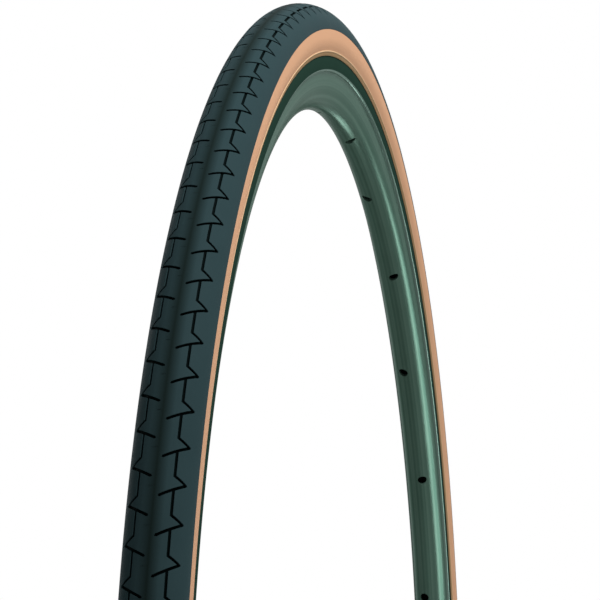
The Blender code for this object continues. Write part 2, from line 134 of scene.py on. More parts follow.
def turned_about_axle(shape, points, steps, hollow=False):
    """Adds a hoop with this section, facing outwards, or inwards where it is a hollow."""
    before = set(shape.faces)
    section = drawn_line(shape, [(radius, across, 0.0) for radius, across in points])
    bmesh.ops.spin(shape, geom=section, axis=(0, 1, 0), angle=math.tau, steps=steps, use_merge=True)
    faces = [face for face in shape.faces if face not in before]
    bmesh.ops.recalc_face_normals(shape, faces=faces)
    if hollow:
        bmesh.ops.reverse_faces(shape, faces=faces)


def drum(shape, diameter, low, high, sides, turn=Matrix()):
    """Adds an upright round bar between two heights, moved by a matrix, and returns its vertices."""
    half = diameter / 2
    lift = Matrix.Translation((0.0, 0.0, (low + high) / 2))
    return bmesh.ops.create_cone(shape, cap_ends=True, segments=sides, radius1=half, radius2=half,
                                 depth=high - low, matrix=turn @ lift)["verts"]


def radial_plug(shape, angle, across, diameter, low, high):
    """Adds a round plug that stands on the axle line's radius at an angle, for cutting a hole."""
    lie_down = Matrix.Rotation(math.pi / 2 - angle, 4, "Y")
    drum(shape, diameter, low, high, HOLE_SIDES, Matrix.Translation((0.0, across, 0.0)) @ lie_down)


def add_object(name, data):
    item = bpy.data.objects.new(name, data)
    bpy.context.scene.collection.objects.link(item)
    return item


def mesh_object(name, shape):
    mesh = bpy.data.meshes.new(name)
    shape.to_mesh(mesh)
    shape.free()
    return add_object(name, mesh)


def cut_away(item, plugs):
    """Cuts the plugs out of an object's mesh and removes them."""
    cutter = mesh_object("cutter", plugs)
    modifier = item.modifiers.new("cut", "BOOLEAN")
    modifier.operation = "DIFFERENCE"
    modifier.solver = "EXACT"
    modifier.object = cutter
    whole = item.data
    evaluated = item.evaluated_get(bpy.context.evaluated_depsgraph_get())
    item.data = bpy.data.meshes.new_from_object(evaluated)
    item.modifiers.clear()
    item.data.name = item.name
    bpy.data.objects.remove(cutter, do_unlink=True)
    bpy.data.meshes.remove(whole)


def finish_piece(item, finish, body, node):
    """Gives a piece its material and smooth shading, and sets it in the frame in a node's place."""
    item.data.materials.clear()
    item.data.materials.append(finish)
    item.data.shade_smooth()
    item.data.set_sharp_from_angle(angle=math.radians(SHARP_DEGREES))
    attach(item, body)
    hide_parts(node)


def new_finish(name, metallic=0.0, specular=0.5):
    """A material with its node tree and its shader, on which two plain values are set."""
    finish = bpy.data.materials.new(name)
    finish.use_nodes = True
    tree = finish.node_tree
    shader = tree.nodes["Principled BSDF"]
    shader.inputs["Metallic"].default_value = metallic
    shader.inputs["Specular IOR Level"].default_value = specular
    return finish, tree, shader


def add_node(tree, kind, sockets=(), **settings):
    """Adds a shader node. Sockets gives (input, value or output socket) pairs."""
    made = tree.nodes.new("ShaderNode" + kind)
    for setting, value in settings.items():
        setattr(made, setting, value)
    for place, value in sockets:
        if isinstance(value, bpy.types.NodeSocket):
            tree.links.new(value, made.inputs[place])
        else:
            made.inputs[place].default_value = value
    return made


def maths(tree, operation, *values):
    return add_node(tree, "Math", list(enumerate(values)), operation=operation).outputs[0]


def ramp(tree, value, start, end, low=0.0, high=1.0):
    """A value that runs from low to high while another runs from start to end."""
    sockets = [("Value", value), ("From Min", start), ("From Max", end), ("To Min", low), ("To Max", high)]
    return add_node(tree, "MapRange", sockets).outputs[0]


def varied(tree, noise, low, high):
    """A value that runs from low to high over the usual spread of a noise."""
    return ramp(tree, noise, *NOISE_SPREAD, low, high)


def blend_colours(tree, amount, first, second):
    """The colour socket of a mix from the first colour to the second by an amount."""
    mix = add_node(tree, "Mix", [(0, amount)], data_type="RGBA")
    for place, colour in zip(MIX_COLOUR_INPUTS, (first, second)):
        if isinstance(colour, bpy.types.NodeSocket):
            tree.links.new(colour, mix.inputs[place])
        else:
            mix.inputs[place].default_value = (*colour, 1.0)
    return mix.outputs[2]


def paint(tree, shader, colour, noise, roughness):
    """Gives a shader its colour, and a roughness that varies with a noise."""
    tree.links.new(colour, shader.inputs["Base Color"])
    tree.links.new(varied(tree, noise, *roughness), shader.inputs["Roughness"])


def bump(tree, shader, height, distance):
    made = add_node(tree, "Bump", [("Height", height), ("Distance", distance), ("Strength", 1.0)])
    tree.links.new(made.outputs["Normal"], shader.inputs["Normal"])


def new_group(name, inputs, outputs):
    """An empty shader node group with named float sockets, and its two end nodes."""
    group = bpy.data.node_groups.new(name, "ShaderNodeTree")
    for way, labels in (("INPUT", inputs), ("OUTPUT", outputs)):
        for label in labels:
            group.interface.new_socket(label, in_out=way, socket_type="NodeSocketFloat")
    return group, group.nodes.new("NodeGroupInput"), group.nodes.new("NodeGroupOutput")


def use_group(tree, group, **values):
    made = tree.nodes.new("ShaderNodeGroup")
    made.node_tree = group
    for label, value in values.items():
        made.inputs[label.replace("_", " ")].default_value = value
    return made.outputs


# Where a point lies on a hoop, and fine lines that run round the hoop with no seam
hoop_lines, given, put_out = new_group("hoop_lines", ["Lines per metre"], ["Lines", "Radius", "Across"])
place = add_node(hoop_lines, "TexCoord").outputs["Object"]
axes = add_node(hoop_lines, "SeparateXYZ", [(0, place)])
in_plane = add_node(hoop_lines, "VectorMath", [(0, place), (1, (1.0, 0.0, 1.0))], operation="MULTIPLY")
reach = add_node(hoop_lines, "VectorMath", [(0, in_plane.outputs[0])], operation="LENGTH")
spot = add_node(hoop_lines, "CombineXYZ", [(0, reach.outputs["Value"]), (1, axes.outputs["Y"])])
streaks = add_node(hoop_lines, "TexNoise", [("Vector", spot.outputs[0]), ("Detail", 3.0),
                                            ("Scale", given.outputs["Lines per metre"])])
hoop_lines.links.new(streaks.outputs["Fac"], put_out.inputs["Lines"])
hoop_lines.links.new(reach.outputs["Value"], put_out.inputs["Radius"])
hoop_lines.links.new(axes.outputs["Y"], put_out.inputs["Across"])

# Cloudy variation and fine grain of a surface
grain, given, put_out = new_group("grain", ["Grains per metre", "Clouds per metre"], ["Grain", "Clouds"])
place = add_node(grain, "TexCoord").outputs["Object"]
for label, source, detail in (("Grain", "Grains per metre", 2.0), ("Clouds", "Clouds per metre", 4.0)):
    noise = add_node(grain, "TexNoise", [("Vector", place), ("Scale", given.outputs[source]),
                                         ("Detail", detail)])
    grain.links.new(noise.outputs["Fac"], put_out.inputs[label])

BOWL_COLOUR = (0.046, 0.092, 0.070)
BOWL_COLOUR_WORN = (0.086, 0.148, 0.118)
BOWL_SHEEN = (0.60, 0.72, 0.67)
BOWL_METAL = 0.27
TRACK_COLOUR = (0.018, 0.042, 0.031)
TRACK_START = BOWL_RADIUS + 0.6 * TRACK_ROUND
EDGE_HIGHLIGHT_COLOUR = (0.120, 0.180, 0.155)
EDGE_METAL = 0.45
EDGE_START = BOWL_HALF_WIDTH - 0.0001
EDGE_FULL = BOWL_HALF_WIDTH + 0.0003
DIE_SPREAD = (0.35, 0.65)
DIE_SHARE = 0.8
CLOUD_SHARE = 0.2
RIM_ROUGHNESS = (0.14, 0.24)
BRUSH_DEPTH = 0.00004

rim_finish, tree, shader = new_finish("grey_green_anodised_alloy", specular=0.0)
shader.inputs["Specular Tint"].default_value = (*BOWL_SHEEN, 1.0)
hoop = use_group(tree, hoop_lines, Lines_per_metre=2200.0)
die_marks = use_group(tree, hoop_lines, Lines_per_metre=520.0)
skin = use_group(tree, grain, Clouds_per_metre=30.0)
side_reach = maths(tree, "ABSOLUTE", hoop["Across"])
on_track = ramp(tree, hoop["Radius"], TRACK_START, BOWL_RADIUS + TRACK_ROUND)
past_bowl = ramp(tree, side_reach, EDGE_START, EDGE_FULL)
# Painted highlight: the rounded foot of each brake track is a lighter green, for a bright line along the
# bowl's edge.
edge_highlight = maths(tree, "MULTIPLY", past_bowl, maths(tree, "SUBTRACT", 1.0, on_track))
mottle = maths(tree, "ADD", ramp(tree, die_marks["Lines"], *DIE_SPREAD, 0.0, DIE_SHARE),
               varied(tree, skin["Clouds"], 0.0, CLOUD_SHARE))
bowl_colour = blend_colours(tree, mottle, BOWL_COLOUR, BOWL_COLOUR_WORN)
side_colour = blend_colours(tree, on_track, bowl_colour, TRACK_COLOUR)
rim_colour = blend_colours(tree, edge_highlight, side_colour, EDGE_HIGHLIGHT_COLOUR)
paint(tree, shader, rim_colour, hoop["Lines"], RIM_ROUGHNESS)
# Metal: some on the bowl, none on the track, and more on the track's foot to strengthen its painted
# highlight.
bare = maths(tree, "MAXIMUM", ramp(tree, on_track, 0.0, 1.0, BOWL_METAL, 0.0),
             maths(tree, "MULTIPLY", edge_highlight, EDGE_METAL))
tree.links.new(bare, shader.inputs["Metallic"])
bump(tree, shader, hoop["Lines"], BRUSH_DEPTH)


def bowl_face(wall, last, steps):
    """Half of the bowl's face, or of one that lies a wall's thickness inside it."""
    rise = NOSE_RADIUS + wall - BOWL_RADIUS
    return arc((BOWL_RADIUS, 0.0), rise, BOWL_HALF_WIDTH - wall, 0, last, steps)


def chamber_section(wall):
    """Half of the hollow inside the bowl, under the well."""
    top = (WELL_RADIUS - wall, WELL_HALF_WIDTH - wall / 4)
    return bowl_face(wall, CHAMBER_TURN, CHAMBER_STEPS) + [top]


bowl = bowl_face(0.0, BOWL_TURN, BOWL_STEPS)
track_foot = arc((BOWL_RADIUS + TRACK_ROUND, TRACK_HALF_WIDTH - TRACK_ROUND),
                 -TRACK_ROUND, TRACK_ROUND, 0, 90, FOOT_STEPS)
blend = eased(bowl[-1], (BOWL_RADIUS - TRACK_ROUND, BOWL_HALF_WIDTH),
              (BOWL_RADIUS, BOWL_HALF_WIDTH), track_foot[0], BLEND_STEPS)
track_top = arc((FLANGE_RADIUS - EDGE_ROUND, TRACK_HALF_WIDTH - EDGE_ROUND),
                EDGE_ROUND, EDGE_ROUND, 90, 0, CORNER_STEPS)
hook = arc((FLANGE_RADIUS - HOOK, FLANGE_INNER), HOOK, -HOOK, 0, 90, CORNER_STEPS)
hook += [(FLANGE_RADIUS - HOOK_DEPTH, FLANGE_INNER)]
seat = [(SEAT_RADIUS, FLANGE_INNER), (SEAT_RADIUS, FLANGE_INNER - SEAT_WIDTH)]
well = [(WELL_RADIUS, WELL_HALF_WIDTH)]

rim_half = bowl + blend[:-1] + track_foot + track_top + hook + seat + well
shape = bmesh.new()
turned_about_axle(shape, both_sides(rim_half), RIM_STEPS)
turned_about_axle(shape, both_sides(chamber_section(RIM_WALL)), RIM_STEPS // 2, hollow=True)
rim = mesh_object("alloy_rim", shape)

plugs = bmesh.new()
for number in range(SPOKE_COUNT):
    angle = math.tau * (number + 0.5) / SPOKE_COUNT
    stagger = HOLE_STAGGER if number % 2 else -HOLE_STAGGER
    radial_plug(plugs, angle, stagger, NIPPLE_HOLE, NOSE_RADIUS - RIM_WALL, NOSE_RADIUS + 4 * RIM_WALL)
    radial_plug(plugs, angle, 0.0, ACCESS_HOLE, WELL_RADIUS - 2 * RIM_WALL, WELL_RADIUS + RIM_WALL)
radial_plug(plugs, VALVE_ANGLE, 0.0, VALVE_HOLE, NOSE_RADIUS - RIM_WALL, SEAT_RADIUS)
cut_away(rim, plugs)
finish_piece(rim, rim_finish, WHEEL, "rim")

# Joint sleeve
# A short aluminium plug, pushed into the rim's hollow at the top, where the ends of the rolled hoop
# meet. It keeps its plain drawn finish, because nothing shows it.
SLEEVE_LENGTH = 0.040
SLEEVE_GAP = 0.0002
SLEEVE_STEPS = 12
SLEEVE_COLOUR = (0.60, 0.61, 0.62)
SLEEVE_COLOUR_DULL = (0.48, 0.49, 0.50)
SLEEVE_ROUGHNESS = (0.32, 0.5)
DRAWN_DEPTH = 0.00002

sleeve_finish, tree, shader = new_finish("drawn_aluminium", metallic=1.0)
hoop = use_group(tree, hoop_lines, Lines_per_metre=4000.0)
drawn = blend_colours(tree, hoop["Lines"], SLEEVE_COLOUR_DULL, SLEEVE_COLOUR)
paint(tree, shader, drawn, hoop["Lines"], SLEEVE_ROUGHNESS)
bump(tree, shader, hoop["Lines"], DRAWN_DEPTH)

shape = bmesh.new()
sleeve_angle = SLEEVE_LENGTH / WELL_RADIUS
start = Matrix.Rotation(-(math.pi + sleeve_angle) / 2, 3, "Y")
outline = both_sides(chamber_section(RIM_WALL + SLEEVE_GAP))
section = drawn_line(shape, [start @ Vector((radius, across, 0.0)) for radius, across in outline])
bmesh.ops.spin(shape, geom=section, axis=(0, 1, 0), angle=sleeve_angle, steps=SLEEVE_STEPS)
bmesh.ops.holes_fill(shape, edges=shape.edges)
bmesh.ops.recalc_face_normals(shape, faces=shape.faces)
finish_piece(mesh_object("rim_plug", shape), sleeve_finish, WHEEL, "rim_joint_sleeve")

# Rim tape
# A woven cotton strip, stuck into the well over the access holes so that their edges can't cut the
# tube. It has one punched hole for the valve.
TAPE_GAP = 0.0002
TAPE_DEPTH = 0.0004
TAPE_ROUND = 0.0001
TAPE_STEPS = 252
TAPE_COLOUR = (0.66, 0.65, 0.60)
TAPE_DIRT_AND_GAP_SHADE = (0.46, 0.45, 0.40)
THREAD_DEPTH = 0.0001
THREAD_GAP = (0.5, 0.1)
DIRT_SPREAD = (0.35, 0.75)
DIRT_SHARE = 0.35
CLOTH_ROUGHNESS = (0.78, 0.92)

# Threads that cross over and under each other: a whole number round the hoop, so there is no seam
threads = ["Threads round", "Threads across per metre", "Slant per metre"]
weave, given, put_out = new_group("weave", threads, ["Weave"])
axes = add_node(weave, "SeparateXYZ", [(0, add_node(weave, "TexCoord").outputs["Object"])]).outputs
round_angle = maths(weave, "ARCTAN2", axes["Z"], axes["X"])
round_wave = maths(weave, "MULTIPLY_ADD", round_angle, given.outputs["Threads round"],
                   maths(weave, "MULTIPLY", axes["Y"], given.outputs["Slant per metre"]))
across_wave = maths(weave, "MULTIPLY", axes["Y"], given.outputs["Threads across per metre"])
across_wave = maths(weave, "MULTIPLY", across_wave, math.tau)
crossing = maths(weave, "MULTIPLY", maths(weave, "SINE", round_wave), maths(weave, "COSINE", across_wave))
weave.links.new(maths(weave, "MULTIPLY_ADD", crossing, 0.5, 0.5), put_out.inputs["Weave"])


def woven_finish(name, colour, dirt_and_gap_shade, along, across, slant=0.0):
    """A cloth with painted shade in its lower gaps, and dirt in clouds. Threads are counted along the whole
    hoop and per metre across.
    """
    finish, tree, shader = new_finish(name, specular=0.2)
    cloth = use_group(tree, weave, Threads_round=along, Threads_across_per_metre=across,
                      Slant_per_metre=slant)
    skin = use_group(tree, grain, Clouds_per_metre=25.0)
    dirt = ramp(tree, skin["Clouds"], *DIRT_SPREAD, 0.0, DIRT_SHARE)
    worn = blend_colours(tree, dirt, colour, dirt_and_gap_shade)
    # Painted shade in the gaps between threads.
    woven = blend_colours(tree, ramp(tree, cloth["Weave"], *THREAD_GAP), worn, dirt_and_gap_shade)
    paint(tree, shader, woven, skin["Clouds"], CLOTH_ROUGHNESS)
    bump(tree, shader, cloth["Weave"], THREAD_DEPTH)
    return finish


tape_low = WELL_RADIUS + TAPE_GAP
tape_high = tape_low + TAPE_DEPTH
tape_half = WELL_HALF_WIDTH - TAPE_GAP
tape_edge = arc((tape_high - TAPE_ROUND, tape_half - TAPE_ROUND), TAPE_ROUND, TAPE_ROUND, 0, 90, 2)
shape = bmesh.new()
turned_about_axle(shape, both_sides(tape_edge + [(tape_low, tape_half)]), TAPE_STEPS)
tape = mesh_object("cotton_tape", shape)
plugs = bmesh.new()
radial_plug(plugs, VALVE_ANGLE, 0.0, VALVE_HOLE, NOSE_RADIUS, SEAT_RADIUS)
cut_away(tape, plugs)
tape_finish = woven_finish("cotton_tape", TAPE_COLOUR, TAPE_DIRT_AND_GAP_SHADE, along=1800.0, across=900.0)
finish_piece(tape, tape_finish, WHEEL, "rim_tape")

# Bead wires
# Two closed hoops of brass-plated steel wire. The casing is folded round them, and because they don't
# stretch, they hold the tyre's edges on the rim.
BEAD_LIFT = 0.0028
BEAD_INSET = 0.00235
BEAD_WIRE_RADIUS = 0.00085
BEAD_SIDES = 12
HIDDEN_STEPS = 168
WIRE_COLOUR = (0.58, 0.47, 0.28)
WIRE_COLOUR_BARE = (0.45, 0.43, 0.40)
WIRE_ROUGHNESS = (0.28, 0.45)
WEAR_SPREAD = (0.4, 0.7)


def plated_finish(name, plating, worn, roughness, grains, clouds):
    """Plated metal, worn in clouds and rougher and smoother in its grain."""
    finish, tree, shader = new_finish(name, metallic=1.0)
    skin = use_group(tree, grain, Grains_per_metre=grains, Clouds_per_metre=clouds)
    colour = blend_colours(tree, ramp(tree, skin["Clouds"], *WEAR_SPREAD), plating, worn)
    paint(tree, shader, colour, skin["Grain"], roughness)
    return finish


wire_finish = plated_finish("brass_plated_steel", WIRE_COLOUR, WIRE_COLOUR_BARE, WIRE_ROUGHNESS,
                            grains=4000.0, clouds=60.0)
bead = (SEAT_RADIUS + BEAD_LIFT, FLANGE_INNER - BEAD_INSET)
wire_ring = arc(bead, BEAD_WIRE_RADIUS, BEAD_WIRE_RADIUS, 0, 360, BEAD_SIDES)[:-1]


def side_hoops(name, points, steps, finish, node):
    """Makes a hoop on the right and its mirror image on the left."""
    for side, sign in (("_right", 1.0), ("_left", -1.0)):
        shape = bmesh.new()
        turned_about_axle(shape, [(radius, sign * across) for radius, across in points], steps)
        finish_piece(mesh_object(name + side, shape), finish, WHEEL, node + side)


side_hoops("bead_hoop", wire_ring, HIDDEN_STEPS, wire_finish, "bead_wire")

# Casing
# One ply of rubber-coated nylon cord, laid aslant. It runs from bead to bead, goes round each bead
# wire and turns up, and the rubber of the other layers is vulcanised to it.
CROWN_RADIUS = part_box("tread")[1].z
LIP_RADIUS = 0.3256
LIP_HALF_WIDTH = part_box("tread")[1].y
LAYER_GAP = 0.0002
CROWN_DEPTH = 0.0024
LIP_DEPTH = 0.0008
BREAKER_DEPTH = 0.00045
PLY_DEPTH = 0.0007
BULGE_RADIUS = 0.3218
TURN_UP = 0.0006
THROAT_PULL = 0.35
PLY_STEPS = 14
WRAP_STEPS = 10
CASING_COLOUR = (0.42, 0.29, 0.17)
CASING_DIRT_AND_GAP_SHADE = (0.27, 0.17, 0.09)


def beside(path, distance, closed=False):
    """The points of a path moved to its left by a distance, with mitred corners."""
    points = [Vector(point) for point in path]
    moved = []
    for index, here in enumerate(points):
        before = points[index - 1] if closed or index else here
        after = points[(index + 1) % len(points)] if closed or index + 1 < len(points) else here
        ways = [b - a for a, b in ((before, here), (here, after)) if (b - a).length > 0]
        lefts = [Vector((-way.y, way.x)).normalized() for way in ways]
        middle = sum(lefts, Vector((0.0, 0.0))).normalized()
        moved.append(here + middle * distance / middle.dot(lefts[0]))
    return moved


def strip_section(half, depth):
    """Closed section of a strip of one depth, from the right-hand half of the line along its middle."""
    path = [(radius, -across) for radius, across in reversed(half)] + half[1:]
    return beside(path, depth / 2) + beside(path, -depth / 2)[::-1]


core_radius = LIP_RADIUS - LAYER_GAP
floor_rise = CROWN_RADIUS - CROWN_DEPTH - core_radius
floor_half = LIP_HALF_WIDTH - LIP_DEPTH
ply_rise = floor_rise - 3 * LAYER_GAP - BREAKER_DEPTH - PLY_DEPTH / 2
ply_half = floor_half - LAYER_GAP - PLY_DEPTH / 2
wrap = BEAD_WIRE_RADIUS + LAYER_GAP / 2 + PLY_DEPTH / 2


def blown_up(rise, half_width, throat, steps):
    """Half of a layer of the inflated tyre, from the crown round the bulge and in to the beads."""
    crown = arc((core_radius, 0.0), rise, half_width, 0, 90, steps)
    low_pull = (throat[0] + (BULGE_RADIUS - throat[0]) * THROAT_PULL, throat[1])
    return crown + eased(crown[-1], (BULGE_RADIUS - LIP_DEPTH, half_width), low_pull, throat, steps // 2)


ply = blown_up(ply_rise, ply_half, (bead[0] + wrap, bead[1] - wrap), PLY_STEPS)
ply += arc(bead, wrap, wrap, 270, 90, WRAP_STEPS) + [(bead[0] + TURN_UP, bead[1] + wrap)]
shape = bmesh.new()
turned_about_axle(shape, strip_section(ply, PLY_DEPTH), HIDDEN_STEPS)
casing_finish = woven_finish("rubber_coated_cord", CASING_COLOUR, CASING_DIRT_AND_GAP_SHADE, along=2400.0,
                             across=300.0, slant=7000.0)
finish_piece(mesh_object("cord_casing", shape), casing_finish, WHEEL, "casing")

# Chafer strips
# Woven black strips, one on each side. They are stuck round the beads and keep the casing from rubbing
# on the rim's seat and flange.
CHAFER_DEPTH = 0.00035
CHAFER_BEND = 0.0004
CHAFER_COLOUR = (0.040, 0.040, 0.042)
CHAFER_DIRT_AND_GAP_SHADE = (0.012, 0.012, 0.013)

seat_line = SEAT_RADIUS + LAYER_GAP + CHAFER_DEPTH / 2
flange_line = FLANGE_INNER - LAYER_GAP - CHAFER_DEPTH / 2
heel = arc((seat_line + CHAFER_BEND, flange_line - CHAFER_BEND), -CHAFER_BEND, CHAFER_BEND, 0, 90,
           FOOT_STEPS)
chafer = [(seat_line, bead[1] - wrap)] + heel + [(bead[0] + BEAD_WIRE_RADIUS / 2, flange_line)]
chafer_section = beside(chafer, CHAFER_DEPTH / 2) + beside(chafer, -CHAFER_DEPTH / 2)[::-1]
chafer_finish = woven_finish("woven_chafer", CHAFER_COLOUR, CHAFER_DIRT_AND_GAP_SHADE, along=1600.0, across=800.0)
side_hoops("chafer_strip", chafer_section, HIDDEN_STEPS, chafer_finish, "chafer")

# Breaker strip
# A tightly woven yellow-white strip, which stops thorns and glass. It is laid on the casing under the
# tread and vulcanised in with them.
BREAKER_EDGE = 38
BREAKER_STEPS = 8
BREAKER_COLOUR = (0.64, 0.56, 0.36)
BREAKER_DIRT_AND_GAP_SHADE = (0.40, 0.33, 0.18)

breaker_rise = floor_rise - LAYER_GAP - BREAKER_DEPTH / 2
breaker = arc((core_radius, 0.0), breaker_rise, floor_half - 2 * LAYER_GAP, 0, BREAKER_EDGE,
              BREAKER_STEPS)
shape = bmesh.new()
turned_about_axle(shape, strip_section(breaker, BREAKER_DEPTH), HIDDEN_STEPS)
breaker_finish = woven_finish("woven_breaker", BREAKER_COLOUR, BREAKER_DIRT_AND_GAP_SHADE, along=2400.0,
                              across=1100.0)
finish_piece(mesh_object("puncture_strip", shape), breaker_finish, WHEEL, "breaker_strip")

# Tread
# A black rubber cap, moulded in one with its grooves: on each side a row of barbs, half a step apart
# from the other row, joined by one zigzag line. It is vulcanised to the casing and thins to its lips.
PITCH_COUNT = 160
GROOVE_WIDTH = 0.00102
GROOVE_DEPTH = 0.00080
GROOVE_SLOPE = 0.00014
FIRST_TIP = math.radians(15.88)
ACROSS_SCALE = 0.01128
INNER_END = (8.3, -0.356)
TIP = (52.4, 0.0)
CORNER = (31.0, 0.173)
LIP_SLANT = math.radians(87.5)
TILE_TOP = 0.4
STRIPS = 12
UNDERSIDE_STRIPS = 6
TIP_STEPS = 4
TREAD_COLOUR = (0.024, 0.046, 0.051)
TREAD_COLOUR_DUSTY = (0.030, 0.056, 0.061)
CROWN_SHADE_COLOUR = (0.010, 0.018, 0.017)
GROOVE_PAINTED_SHADE = (0.002, 0.005, 0.005)
CROWN_SHADE_BAND = 0.32
GROOVE_SHADE = (0.990, 0.960)
TREAD_ROUGHNESS = (0.44, 0.54)
RUBBER_GRAIN = 0.00003

pitch_angle = math.tau / PITCH_COUNT
pitch = pitch_angle * CROWN_RADIUS


def on_sheet(place):
    """A place on the flattened tread, from (degrees from the crown, part of a pitch)."""
    return Vector((math.radians(place[0]) * ACROSS_SCALE, place[1] * pitch))


def on_tyre(point):
    """Wraps a point of the flat sheet, whose height is along the surface's normal, round the tyre."""
    slant = point.x / ACROSS_SCALE
    turn = point.y / CROWN_RADIUS
    rise = CROWN_RADIUS - LIP_RADIUS
    normal = Vector((math.cos(slant) / rise, math.sin(slant) / LIP_HALF_WIDTH)).normalized()
    radius = LIP_RADIUS + rise * math.cos(slant) + normal.x * point.z
    across = LIP_HALF_WIDTH * math.sin(slant) + normal.y * point.z
    return Vector((-radius * math.cos(turn), across, radius * math.sin(turn)))


half_groove = GROOVE_WIDTH / 2
end, tip, corner = on_sheet(INNER_END), on_sheet(TIP), on_sheet(CORNER)
top, bottom = TILE_TOP * pitch, (TILE_TOP - 1) * pitch
path = [end, tip, corner, Vector((corner.x, top))]
upper, lower = beside(path, half_groove), beside(path, -half_groove)
along = (tip - end).normalized()
slope = along.y / along.x
lean = math.atan(slope)
tip_turns = [lean + step * (math.pi - 2 * lean) / TIP_STEPS for step in range(TIP_STEPS + 1)]
tip_round = [tip + half_groove * Vector((math.sin(turn), -math.cos(turn))) for turn in tip_turns]


def under_barb(x):
    """The point of the barb's lower edge at a distance across."""
    return Vector((x, lower[0].y + slope * (x - lower[0].x)))


left_x, right_x = corner.x - half_groove, corner.x + half_groove
inner_chain = [Vector((left_x, bottom)), under_barb(left_x), lower[0], end - half_groove * along,
               upper[0], upper[1], upper[2], upper[3]]
outer_chain = [Vector((right_x, bottom)), under_barb(right_x)] + tip_round + [lower[2], lower[3]]
lip_x = LIP_SLANT * ACROSS_SCALE

shape = bmesh.new()
groove_mark = shape.faces.layers.int.new("groove")
crown_ends = [shape.verts.new((0.0, y, 0.0)) for y in (top, bottom)]
lip_ends = [shape.verts.new((lip_x, y, 0.0)) for y in (top, bottom)]
inner_edge = [shape.verts.new((*point, 0.0)) for point in inner_chain]
outer_edge = [shape.verts.new((*point, 0.0)) for point in outer_chain]
shape.faces.new(inner_edge + crown_ends)
shape.faces.new(outer_edge + lip_ends)
shape.faces.new(outer_edge + inner_edge[::-1])[groove_mark] = 1
cuts = [((lip_x * strip / STRIPS, 0.0, 0.0), (1.0, 0.0, 0.0)) for strip in range(1, STRIPS)]
cuts.append(((0.0, top - pitch / 2, 0.0), (0.0, 1.0, 0.0)))
for place, way in cuts:
    bmesh.ops.bisect_plane(shape, geom=all_of(shape), dist=WELD, plane_co=place, plane_no=way)
bmesh.ops.recalc_face_normals(shape, faces=shape.faces)
if shape.faces[0].normal.z < 0:
    bmesh.ops.reverse_faces(shape, faces=shape.faces)
bmesh.ops.inset_region(shape, faces=[face for face in shape.faces if face[groove_mark]],
                       thickness=GROOVE_SLOPE, depth=-GROOVE_DEPTH, use_even_offset=True)

lip_edges = [edge for edge in shape.edges if all(vert.co.x > lip_x - NEAR for vert in edge.verts)]
for strip in range(UNDERSIDE_STRIPS + 1):
    part = 1 - strip / UNDERSIDE_STRIPS
    depth = LIP_DEPTH + (CROWN_DEPTH - LIP_DEPTH) * math.cos(part * LIP_SLANT)
    made = bmesh.ops.extrude_edge_only(shape, edges=lip_edges)["geom"]
    lip_edges = [edge for edge in made if isinstance(edge, bmesh.types.BMEdge)]
    for vert in {vert for edge in lip_edges for vert in edge.verts}:
        vert.co.x = part * lip_x
        vert.co.z = -depth

other = bmesh.ops.duplicate(shape, geom=all_of(shape))["geom"]
other_verts = [item for item in other if isinstance(item, bmesh.types.BMVert)]
bmesh.ops.scale(shape, vec=(-1.0, 1.0, 1.0), verts=other_verts)
bmesh.ops.translate(shape, vec=(0.0, -pitch / 2, 0.0), verts=other_verts)
for vert in shape.verts:
    vert.co.y += (FIRST_TIP + pitch_angle / 2) * CROWN_RADIUS
    vert.co = on_tyre(vert.co)
bmesh.ops.spin(shape, geom=all_of(shape), axis=(0, 1, 0), angle=math.tau - pitch_angle,
               steps=PITCH_COUNT - 1, use_duplicate=True)
bmesh.ops.remove_doubles(shape, verts=shape.verts, dist=NEAR)
bmesh.ops.recalc_face_normals(shape, faces=shape.faces)

tread_finish, tree, shader = new_finish("black_tread_rubber", specular=0.003)
skin = use_group(tree, grain, Grains_per_metre=2600.0, Clouds_per_metre=60.0)
hoop = use_group(tree, hoop_lines)
rubber = blend_colours(tree, skin["Clouds"], TREAD_COLOUR, TREAD_COLOUR_DUSTY)
width = maths(tree, "DIVIDE", hoop["Across"], LIP_HALF_WIDTH)
# Painted shade: a soft darker band along the middle of the crown.
crown_shade = ramp(tree, maths(tree, "ABSOLUTE", width), CROWN_SHADE_BAND, 0.0)
rubber = blend_colours(tree, crown_shade, rubber, CROWN_SHADE_COLOUR)
# Painted shade: the grooves darken to near black by how far they sink below the tread's face.
above_lip = maths(tree, "SUBTRACT", hoop["Radius"], LIP_RADIUS)
rise = maths(tree, "DIVIDE", above_lip, CROWN_RADIUS - LIP_RADIUS)
both = add_node(tree, "CombineXYZ", [(0, rise), (1, width)])
level = add_node(tree, "VectorMath", [(0, both.outputs[0])], operation="LENGTH")
groove_shading = ramp(tree, level.outputs["Value"], *GROOVE_SHADE)
rubber = blend_colours(tree, groove_shading, rubber, GROOVE_PAINTED_SHADE)
paint(tree, shader, rubber, skin["Clouds"], TREAD_ROUGHNESS)
bump(tree, shader, skin["Grain"], RUBBER_GRAIN)
finish_piece(mesh_object("grooved_tread", shape), tread_finish, WHEEL, "tread")

